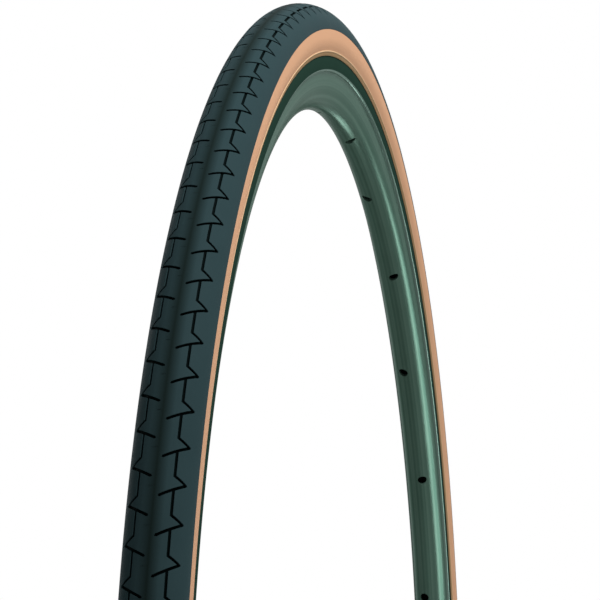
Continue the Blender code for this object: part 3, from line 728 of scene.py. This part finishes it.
# Tan walls
# Thin coats of tan rubber over the casing, one on each side, from under the tread's lip to the rim,
# whose edge they just cover. A moulded rib above the rim shows whether the tyre sits evenly.
WALL_BULGE_RADIUS = 0.3226
WALL_FALL = 43.0
WALL_TOP_FALL = 8.0
WALL_TOP = 0.32600
WALL_DEPTH = 0.0006
RIB_RADIUS = 0.3171
RIB_HEIGHT = 0.00032
RIB_HALF = 0.00038
RIB_CREST = 0.8 * RIB_HALF
RIB_ARC = (30, 150)
WALL_FOOT = 0.3153
FOOT_OUT = 0.0005
FOOT_GAP = 0.0001
WALL_STEPS = 336
BOW_STEPS = 12
RIB_STEPS = 4
TAN_COLOUR = (0.585, 0.325, 0.190)
TAN_COLOUR_PALE = (0.630, 0.360, 0.215)
TAN_SHADE_LOW = (0.300, 0.190, 0.095)
RIB_HIGHLIGHT_COLOUR = (0.640, 0.440, 0.260)
TAN_ROUGHNESS = (0.5, 0.62)


def wall_across(radius):
    fall = WALL_FALL if radius < WALL_BULGE_RADIUS else WALL_TOP_FALL
    return LIP_HALF_WIDTH - fall * (radius - WALL_BULGE_RADIUS) ** 2


rib_top = RIB_RADIUS + RIB_HALF
rib_low = RIB_RADIUS - RIB_HALF
wall_bow = [WALL_TOP + (rib_top - WALL_TOP) * step / BOW_STEPS for step in range(BOW_STEPS + 1)]
rib = arc((RIB_RADIUS, wall_across(RIB_RADIUS)), RIB_CREST, RIB_HEIGHT, *RIB_ARC, RIB_STEPS)
foot_across = TRACK_HALF_WIDTH + FOOT_OUT
outside = [(radius, wall_across(radius)) for radius in wall_bow] + rib
outside += [(rib_low, foot_across + FOOT_GAP / 2), (WALL_FOOT + FOOT_OUT, foot_across),
            (WALL_FOOT, foot_across - FOOT_OUT / 2)]
flange_top = FLANGE_RADIUS + FOOT_GAP
inside = [(WALL_FOOT, TRACK_HALF_WIDTH + FOOT_GAP), (flange_top, TRACK_HALF_WIDTH + FOOT_GAP),
          (flange_top, FLANGE_INNER - HOOK)]
inside += [(radius, wall_across(radius) - WALL_DEPTH) for radius in wall_bow[-3::-1]]

tan_finish, tree, shader = new_finish("tan_wall_rubber", specular=0.01)
skin = use_group(tree, grain, Grains_per_metre=2200.0, Clouds_per_metre=35.0)
hoop = use_group(tree, hoop_lines)
rubber = blend_colours(tree, skin["Clouds"], TAN_COLOUR, TAN_COLOUR_PALE)
# Painted shade: the wall darkens from the rib down to the rim.
rubber = blend_colours(tree, ramp(tree, hoop["Radius"], RIB_RADIUS, rib_low), rubber, TAN_SHADE_LOW)
# Painted highlight: a pale line along the rib.
from_rib = maths(tree, "ABSOLUTE", maths(tree, "SUBTRACT", hoop["Radius"], RIB_RADIUS))
rubber = blend_colours(tree, ramp(tree, from_rib, RIB_HALF, RIB_HALF / 2), rubber, RIB_HIGHLIGHT_COLOUR)
paint(tree, shader, rubber, skin["Clouds"], TAN_ROUGHNESS)
bump(tree, shader, skin["Grain"], RUBBER_GRAIN)
side_hoops("tan_wall", outside + inside, WALL_STEPS, tan_finish, "sidewall")

# Inner tube
# A butyl rubber tube, blown up against the casing and down into the well. It is cut open at the
# bottom, where the thicker patch that carries the valve is vulcanised in.
TUBE_DEPTH = 0.0009
TUBE_STEPS = 168
TUBE_COLOUR = (0.012, 0.012, 0.013)
TUBE_COLOUR_DUSTY = (0.034, 0.034, 0.033)
TUBE_DUST_SPREAD = (0.45, 0.75)
TUBE_ROUGHNESS = (0.45, 0.65)
TUBE_LINE_STEPS = 12
SLOT_SIDES = 26
PAD_LENGTH = 0.0200
PAD_WIDTH = 0.0062


def moulded_finish(name, colour, dusty, dust_spread, roughness, specular, grains, clouds, grain_depth):
    """Moulded rubber or plastic, dusty and duller in clouds, with a fine grain."""
    finish, tree, shader = new_finish(name, specular=specular)
    skin = use_group(tree, grain, Grains_per_metre=grains, Clouds_per_metre=clouds)
    dulled = blend_colours(tree, ramp(tree, skin["Clouds"], *dust_spread), colour, dusty)
    paint(tree, shader, dulled, skin["Clouds"], roughness)
    bump(tree, shader, skin["Grain"], grain_depth)
    return finish


tube_finish = moulded_finish("butyl_rubber", TUBE_COLOUR, TUBE_COLOUR_DUSTY, TUBE_DUST_SPREAD,
                             TUBE_ROUGHNESS, specular=0.35, grains=1800.0, clouds=45.0, grain_depth=0.00004)


def stadium(shape, length, width, low, high, sides):
    """Adds a flat bar with round ends, along X, from a drum whose halves are drawn apart."""
    for vert in drum(shape, width, low, high, sides):
        vert.co.x += math.copysign((length - width) / 2, vert.co.x)


neck = bead[1] - wrap - PLY_DEPTH
tube_floor = tape_high + LAYER_GAP
tube_line = blown_up(ply_rise - PLY_DEPTH, ply_half - PLY_DEPTH, (bead[0] + wrap, neck), TUBE_LINE_STEPS)
tube_line += [(SEAT_RADIUS - LAYER_GAP, neck)]
tube_line += arc((tube_floor + TUBE_DEPTH, WELL_HALF_WIDTH - 3 * LAYER_GAP - TUBE_DEPTH),
                 -TUBE_DEPTH, TUBE_DEPTH, 90, 0, CORNER_STEPS)
tube_loop = both_sides(tube_line)
shape = bmesh.new()
turned_about_axle(shape, tube_loop, TUBE_STEPS)
turned_about_axle(shape, beside(tube_loop, -TUBE_DEPTH, closed=True), TUBE_STEPS, hollow=True)
tube = mesh_object("butyl_tube", shape)
pad_low, pad_high = (corner.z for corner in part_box("valve_base_pad"))
plugs = bmesh.new()
stadium(plugs, PAD_LENGTH + 2 * LAYER_GAP, PAD_WIDTH + 2 * LAYER_GAP, pad_low - TUBE_DEPTH,
        pad_high + TUBE_DEPTH, SLOT_SIDES)
cut_away(tube, plugs)
finish_piece(tube, tube_finish, WHEEL, "inner_tube")

# Valve patch
# A thick oval of the tube's own rubber, moulded round the neck of the valve stem. It is vulcanised into
# the tube's opening and seals the stem to the tube.
STEM_NECK = 0.0038
PAD_ROUND = 0.0004
PAD_SIDES = 42

shape = bmesh.new()
stadium(shape, PAD_LENGTH - 2 * LAYER_GAP, PAD_WIDTH, pad_low, pad_high, PAD_SIDES)
rims = [edge for edge in shape.edges if abs(edge.verts[0].co.z - edge.verts[1].co.z) < NEAR]
bmesh.ops.bevel(shape, geom=rims, offset=PAD_ROUND, segments=CORNER_STEPS, profile=0.5, affect="EDGES",
                material=-1)
pad = mesh_object("valve_patch", shape)
plugs = bmesh.new()
drum(plugs, STEM_NECK + 2 * FOOT_GAP, pad_low - TUBE_DEPTH, pad_high + TUBE_DEPTH, HOLE_SIDES)
cut_away(pad, plugs)
finish_piece(pad, tube_finish, WHEEL, "valve_base_pad")

# Valve stem
# A nickel-plated brass tube, threaded outside for the rim nut, with a narrower threaded end for the
# cap. Its foot is moulded into the patch, and its bore takes the core from above.
STEM_TOP = 0.0340
STEM_SHOULDER = 0.0280
STEM_DIAMETER = 0.0060
STEM_THREAD_DEPTH = 0.00032
STEM_LEAD = 0.0008
STEM_CHAMFER = 0.0006
STEM_FOOT = 0.0056
STEM_FOOT_DEPTH = 0.0008
STEM_BORE = 0.0022
CORE_BORE = 0.0040
CORE_BORE_FLOOR = 0.0090
CAP_THREAD = 0.0052
CAP_THREAD_DEPTH = 0.0002
CAP_LEAD = 0.0006
THREAD_SIDES = 24
NICKEL_COLOUR = (0.66, 0.64, 0.59)
NICKEL_COLOUR_DULL = (0.50, 0.47, 0.41)
NICKEL_ROUGHNESS = (0.18, 0.34)

nickel_finish = plated_finish("nickel_plated_brass", NICKEL_COLOUR, NICKEL_COLOUR_DULL, NICKEL_ROUGHNESS,
                              grains=5000.0, clouds=250.0)

# Heights on the valve are measured from the rim's inner face in the frame
rim_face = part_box("valve_stem")[1].z - STEM_TOP


def ring_thread(diameter, depth, lead, low, high):
    """Section points of a fine thread that is drawn as rings, from its lower to its upper end."""
    count = round((high - low) / lead)
    step = (high - low) / count
    points = []
    for number in range(count):
        points.append((diameter / 2 - depth, low + number * step))
        points.append((diameter / 2, low + (number + 0.5) * step))
    return points + [(diameter / 2 - depth, high)]


def run_on(shape, edges, points):
    """Carries a loop of edges on through rings of (radius, height) about the valve's axis."""
    for radius, height in points:
        made = bmesh.ops.extrude_edge_only(shape, edges=edges)["geom"]
        edges = [item for item in made if isinstance(item, bmesh.types.BMEdge)]
        for vert in {vert for edge in edges for vert in edge.verts}:
            way = vert.co.xy.normalized() * radius
            vert.co = (way.x, way.y, height)
    return edges


def loop_at(shape, height):
    """The open edges at one height."""
    return [edge for edge in shape.edges
            if edge.is_boundary and all(abs(vert.co.z - height) < NEAR / 2 for vert in edge.verts)]


thread_low = pad_high + 3 * LAYER_GAP
thread_high = rim_face + STEM_SHOULDER
turn_count = math.ceil((thread_high - thread_low) / STEM_LEAD) + 2
first = thread_low - STEM_LEAD
root = STEM_DIAMETER / 2 - STEM_THREAD_DEPTH
shape = bmesh.new()
tooth = [(root, 0.0, first), (STEM_DIAMETER / 2, 0.0, first + STEM_LEAD / 2),
         (root, 0.0, first + STEM_LEAD)]
bmesh.ops.spin(shape, geom=drawn_line(shape, tooth, closed=False), axis=(0, 0, 1),
               angle=math.tau * turn_count, steps=THREAD_SIDES * turn_count,
               dvec=(0.0, 0.0, STEM_LEAD / THREAD_SIDES))
bmesh.ops.remove_doubles(shape, verts=shape.verts, dist=NEAR)
for height, way in ((thread_low, -1.0), (thread_high, 1.0)):
    bmesh.ops.bisect_plane(shape, geom=all_of(shape), dist=WELD, plane_co=(0.0, 0.0, height),
                           plane_no=(0.0, 0.0, way), clear_outer=True)
foot_top = pad_low - LAYER_GAP
bottom_loop = loop_at(shape, thread_low)
foot_low = foot_top - STEM_FOOT_DEPTH
stem_end = rim_face + STEM_TOP
bore_floor = rim_face + CORE_BORE_FLOOR
cap_end = ring_thread(CAP_THREAD, CAP_THREAD_DEPTH, CAP_LEAD, thread_high + STEM_CHAMFER, stem_end)
inside = [(CORE_BORE / 2, stem_end), (CORE_BORE / 2, bore_floor),
          (STEM_BORE / 2, bore_floor - STEM_CHAMFER), (STEM_BORE / 2, foot_low)]
foot = [(STEM_FOOT / 2, foot_low), (STEM_FOOT / 2, foot_top), (STEM_NECK / 2, foot_top),
        (STEM_NECK / 2, pad_high + LAYER_GAP), (root, pad_high + LAYER_GAP)]
last_loop = run_on(shape, loop_at(shape, thread_high), [(root, thread_high)] + cap_end + inside + foot)
bmesh.ops.bridge_loops(shape, edges=bottom_loop + last_loop)
bmesh.ops.remove_doubles(shape, verts=shape.verts, dist=WELD)
bmesh.ops.recalc_face_normals(shape, faces=shape.faces)
finish_piece(mesh_object("threaded_stem", shape), nickel_finish, WHEEL, "valve_stem")

# Valve core
# A nickel-plated brass plug, screwed into the stem. Its head has two flats for a key, and its bore
# guides the pin.
CORE_FOOT = 0.0160
CORE_HEAD = 0.0048
CORE_HEAD_TOP = 0.0368
CORE_FLATS = 0.0042
CORE_CHAMFER = 0.0003
PIN_HOLE = 0.0023


def turned_about_valve(points, sides):
    """A new round solid on the valve's axis, from a closed section of (diameter, height) points."""
    shape = bmesh.new()
    corners = [shape.verts.new((size / 2, 0.0, rim_face + height)) for size, height in points]
    edges = [shape.edges.new(pair) for pair in zip(corners, corners[1:] + corners[:1])
             if max(vert.co.x for vert in pair) > NEAR]
    bmesh.ops.spin(shape, geom=corners + edges, axis=(0, 0, 1), angle=math.tau, steps=sides, use_merge=True)
    bmesh.ops.remove_doubles(shape, verts=shape.verts, dist=WELD)
    bmesh.ops.recalc_face_normals(shape, faces=shape.faces)
    return shape


core_body = CORE_BORE - 2 * LAYER_GAP
head_low = STEM_TOP + LAYER_GAP
shape = turned_about_valve([
    (PIN_HOLE, CORE_FOOT), (core_body - CORE_CHAMFER, CORE_FOOT), (core_body, CORE_FOOT + CORE_CHAMFER),
    (core_body, head_low), (CORE_HEAD, head_low), (CORE_HEAD, CORE_HEAD_TOP - CORE_CHAMFER),
    (CORE_HEAD - 2 * CORE_CHAMFER, CORE_HEAD_TOP), (PIN_HOLE, CORE_HEAD_TOP)], THREAD_SIDES)
for vert in shape.verts:
    if vert.co.z > rim_face + head_low - NEAR:
        vert.co.y = max(-CORE_FLATS / 2, min(CORE_FLATS / 2, vert.co.y))
finish_piece(mesh_object("core_plug", shape), nickel_finish, WHEEL, "valve_core")

# Valve pin and its seal
# A thin brass pin through the core, threaded at its top for the lock nut. A rubber washer above its
# collar shuts the core from below when air presses on it.
PIN_DIAMETER = 0.0018
PIN_THREAD_DEPTH = 0.00012
PIN_LEAD = 0.0004
PIN_TOP = 0.0440
PIN_COLLAR = 0.0027
SEAL_DIAMETER = 0.0034
SEAL_DEPTH = 0.0012
SEAL_ROUND = 0.0003
PIN_BODY = "valve_pin"

seal_top = CORE_FOOT - LAYER_GAP
seal_low = seal_top - SEAL_DEPTH
collar_top = seal_low - LAYER_GAP
pin_thread = ring_thread(PIN_DIAMETER, PIN_THREAD_DEPTH, PIN_LEAD, CORE_HEAD_TOP, PIN_TOP - PIN_LEAD)
shape = turned_about_valve([
    (0.0, collar_top - SEAL_DEPTH), (PIN_COLLAR - 2 * PIN_THREAD_DEPTH, collar_top - SEAL_DEPTH),
    (PIN_COLLAR, collar_top - SEAL_DEPTH / 2), (PIN_COLLAR, collar_top), (PIN_DIAMETER, collar_top),
    (PIN_DIAMETER, CORE_HEAD_TOP - PIN_LEAD)] + [(2 * radius, height) for radius, height in pin_thread]
    + [(PIN_DIAMETER / 2, PIN_TOP), (0.0, PIN_TOP)], THREAD_SIDES)
finish_piece(mesh_object("threaded_pin", shape), nickel_finish, PIN_BODY, "valve_pin")

seal_face = SEAL_DIAMETER - 2 * SEAL_ROUND
shape = turned_about_valve([
    (PIN_HOLE, seal_low), (seal_face, seal_low), (SEAL_DIAMETER, seal_low + SEAL_ROUND),
    (SEAL_DIAMETER, seal_top - SEAL_ROUND), (seal_face, seal_top), (PIN_HOLE, seal_top)], THREAD_SIDES)
finish_piece(mesh_object("seal_washer", shape), tube_finish, PIN_BODY, "pin_seal")

# Lock nut
# A small nut of plated brass, knurled for the fingers, on the pin's thread. Screwed down on the core's
# head, it keeps the pin shut.
LOCK_NUT_DIAMETER = 0.0044
LOCK_NUT_HEIGHT = 0.0036
NUT_CHAMFER = 0.0005
KNURL_DEPTH = 0.00028
LOCK_NUT_SIDES = 32


def knurl(shape, diameter, depth, sides):
    """Presses every second line of a face of this diameter, turned with so many sides, inwards."""
    for vert in shape.verts:
        line = round(math.atan2(vert.co.y, vert.co.x) / math.tau * sides)
        if line % 2 and abs(vert.co.xy.length - diameter / 2) < NEAR:
            vert.co.xy *= 1 - 2 * depth / diameter


nut_low = CORE_HEAD_TOP + LAYER_GAP
nut_top = nut_low + LOCK_NUT_HEIGHT
shape = turned_about_valve([
    (PIN_HOLE, nut_low), (LOCK_NUT_DIAMETER - NUT_CHAMFER, nut_low),
    (LOCK_NUT_DIAMETER, nut_low + NUT_CHAMFER / 2), (LOCK_NUT_DIAMETER, nut_top - NUT_CHAMFER),
    (LOCK_NUT_DIAMETER - 2 * NUT_CHAMFER, nut_top), (PIN_HOLE, nut_top)], LOCK_NUT_SIDES)
knurl(shape, LOCK_NUT_DIAMETER, KNURL_DEPTH, LOCK_NUT_SIDES)
lock_nut = mesh_object("knurled_lock_nut", shape)
finish_piece(lock_nut, nickel_finish, "valve_lock_nut", "valve_lock_nut")

# Rim nut
# A ring of plated brass, knurled for the fingers, on the stem's thread. Its wide foot presses on the
# rim's nose and holds the stem upright.
RIM_NUT_DIAMETER = 0.0096
RIM_NUT_GRIP = 0.0084
RIM_NUT_HEIGHT = 0.0038
RIM_NUT_FLANGE = 0.0012
RIM_NUT_CHAMFER = 0.0004
RIM_NUT_SIDES = 48

nut_foot = -NOSE_RADIUS - rim_face + FOOT_GAP
shape = turned_about_valve([
    (VALVE_HOLE, nut_foot), (RIM_NUT_DIAMETER - RIM_NUT_CHAMFER, nut_foot),
    (RIM_NUT_DIAMETER, nut_foot + RIM_NUT_CHAMFER / 2),
    (RIM_NUT_DIAMETER, RIM_NUT_FLANGE - RIM_NUT_CHAMFER / 2),
    (RIM_NUT_DIAMETER - RIM_NUT_CHAMFER, RIM_NUT_FLANGE), (RIM_NUT_GRIP - RIM_NUT_CHAMFER, RIM_NUT_FLANGE),
    (RIM_NUT_GRIP, RIM_NUT_FLANGE + RIM_NUT_CHAMFER), (RIM_NUT_GRIP, RIM_NUT_HEIGHT - RIM_NUT_CHAMFER),
    (RIM_NUT_GRIP - 2 * RIM_NUT_CHAMFER, RIM_NUT_HEIGHT), (VALVE_HOLE, RIM_NUT_HEIGHT)], RIM_NUT_SIDES)
knurl(shape, RIM_NUT_GRIP, KNURL_DEPTH, RIM_NUT_SIDES)
finish_piece(mesh_object("knurled_rim_nut", shape), nickel_finish, "rim_nut", "rim_nut")

# Valve cap
# A black plastic cap, moulded with grip ribs. It screws on the stem's narrow end and keeps dirt out of
# the valve.
CAP_DIAMETER = 0.0074
CAP_TIP = 0.0056
CAP_TOP = 0.0470
CAP_GAP = 0.0009
CAP_SKIRT = 0.0090
CAP_ROUND = 0.0008
CAP_ROOF = 0.0014
CAP_RIB_DEPTH = 0.00025
CAP_SIDES = 48
DOME_STEPS = 5
CAP_COLOUR = (0.013, 0.013, 0.014)
CAP_COLOUR_SCUFFED = (0.034, 0.034, 0.035)
CAP_SCUFF_SPREAD = (0.5, 0.75)
CAP_ROUGHNESS = (0.38, 0.55)

cap_finish = moulded_finish("black_moulded_plastic", CAP_COLOUR, CAP_COLOUR_SCUFFED, CAP_SCUFF_SPREAD,
                            CAP_ROUGHNESS, specular=0.4, grains=4000.0, clouds=220.0, grain_depth=0.00002)
cap_mouth = STEM_SHOULDER + CAP_GAP
cap_bore = CAP_THREAD + 2 * LAYER_GAP
cap_roof = CAP_TOP - CAP_ROOF
collar = CAP_DIAMETER - 2 * CAP_RIB_DEPTH
dome = [(CAP_TIP - 2 * CAP_ROUND + 2 * rise, height) for height, rise in
        arc((CAP_TOP - CAP_ROUND, 0.0), CAP_ROUND, CAP_ROUND, 90, 0, DOME_STEPS)]
shape = turned_about_valve([
    (cap_bore, cap_mouth), (collar, cap_mouth), (collar, cap_mouth + CAP_ROUND),
    (CAP_DIAMETER, cap_mouth + 1.5 * CAP_ROUND), (CAP_DIAMETER, cap_mouth + CAP_SKIRT),
    (collar, cap_mouth + CAP_SKIRT + CAP_ROUND)] + dome + [
    (0.0, CAP_TOP), (0.0, cap_roof), (CAP_TIP - CAP_ROOF, cap_roof), (cap_bore, cap_mouth + CAP_SKIRT)],
    CAP_SIDES)
knurl(shape, CAP_DIAMETER, CAP_RIB_DEPTH, CAP_SIDES)
finish_piece(mesh_object("ribbed_cap", shape), cap_finish, "valve_cap", "valve_cap")

# Studio
# A pale floor and white surroundings. A soft key lamp hangs above and to the camera's right, a tilted
# panel and a small low lamp stand behind the wheel, and a weak fill lamp lights the side that the camera
# doesn't see. The camera stands ahead of the wheel, a little above its axle line, and looks slightly up.
FLOOR_COLOUR = (0.72, 0.72, 0.71)
FLOOR_HALF = 6.0
FLOOR_ROUGHNESS = 0.9
FLOOR_PALENESS = 0.4
AMBIENT = 0.15
AIM = (0.0, 0.0, 0.05)
WHITE = (1.0, 1.0, 1.0, 1.0)
CAMERA_PLACE = (-1.1239, -0.2003, 0.0590)
CAMERA_WAY = (0.9729, 0.1862, 0.1368)
CAMERA_LENS = 161.24
SENSOR_WIDTH = 36.0

shape = bmesh.new()
bmesh.ops.create_grid(shape, x_segments=1, y_segments=1, size=FLOOR_HALF,
                      matrix=Matrix.Translation((0.0, 0.0, cad_box[0][2])))
floor = mesh_object("floor", shape)
floor_finish, tree, shader = new_finish("pale_floor")
shader.inputs["Base Color"].default_value = (*FLOOR_COLOUR, 1.0)
shader.inputs["Roughness"].default_value = FLOOR_ROUGHNESS


def looked_at(tree):
    """1 for what the camera sees straight or in metal and glass, and 0 for the light on the part."""
    rays = add_node(tree, "LightPath").outputs
    straight = maths(tree, "MAXIMUM", rays["Is Camera Ray"], rays["Is Glossy Ray"])
    return maths(tree, "MAXIMUM", straight, rays["Is Transmission Ray"])


glow = add_node(tree, "Emission", [("Color", WHITE), ("Strength", 1.0)])
share = maths(tree, "MULTIPLY", looked_at(tree), FLOOR_PALENESS)
pale = add_node(tree, "MixShader", [(0, share), (1, shader.outputs[0]), (2, glow.outputs[0])])
tree.links.new(pale.outputs[0], tree.nodes["Material Output"].inputs["Surface"])
floor.data.materials.append(floor_finish)


def soft_lamp(name, place, size, watts, tilt=0.0):
    """A rectangular lamp that faces the wheel, with its long side tilted from level."""
    data = bpy.data.lights.new(name, "AREA")
    data.shape = "RECTANGLE"
    data.size, data.size_y = size
    data.energy = watts
    lamp = add_object(name, data)
    lamp.location = place
    facing = (Vector(AIM) - Vector(place)).to_track_quat("-Z", "Y")
    lamp.rotation_euler = (facing @ Quaternion((0.0, 0.0, 1.0), tilt)).to_euler()


soft_lamp("panel_lamp", place=(1.33, -1.14, -0.04), size=(0.88, 0.18), watts=5.6, tilt=math.radians(25))
soft_lamp("key_lamp", place=(-0.38, -0.50, 1.02), size=(0.6, 0.6), watts=13.5)
soft_lamp("fill_lamp", place=(0.75, 1.15, 0.50), size=(0.8, 0.8), watts=5.0)
soft_lamp("low_lamp", place=(2.05, -0.40, -0.19), size=(0.36, 0.30), watts=2.9)

world = bpy.data.worlds.new("white_studio")
bpy.context.scene.world = world
world.use_nodes = True
tree = world.node_tree
ambient = tree.nodes["Background"]
ambient.inputs["Color"].default_value = WHITE
ambient.inputs["Strength"].default_value = AMBIENT
backdrop = add_node(tree, "Background", [("Color", WHITE), ("Strength", 1.0)])
surroundings = [(0, looked_at(tree)), (1, ambient.outputs[0]), (2, backdrop.outputs[0])]
choose = add_node(tree, "MixShader", surroundings)
tree.links.new(choose.outputs[0], tree.nodes["World Output"].inputs["Surface"])
bpy.context.scene.view_settings.view_transform = "Standard"

camera_data = bpy.data.cameras.new("camera")
camera_data.lens = CAMERA_LENS
camera_data.sensor_width = SENSOR_WIDTH
camera = add_object("camera", camera_data)
camera.location = CAMERA_PLACE
camera.rotation_euler = Vector(CAMERA_WAY).to_track_quat("-Z", "Y").to_euler()
bpy.context.scene.camera = camera
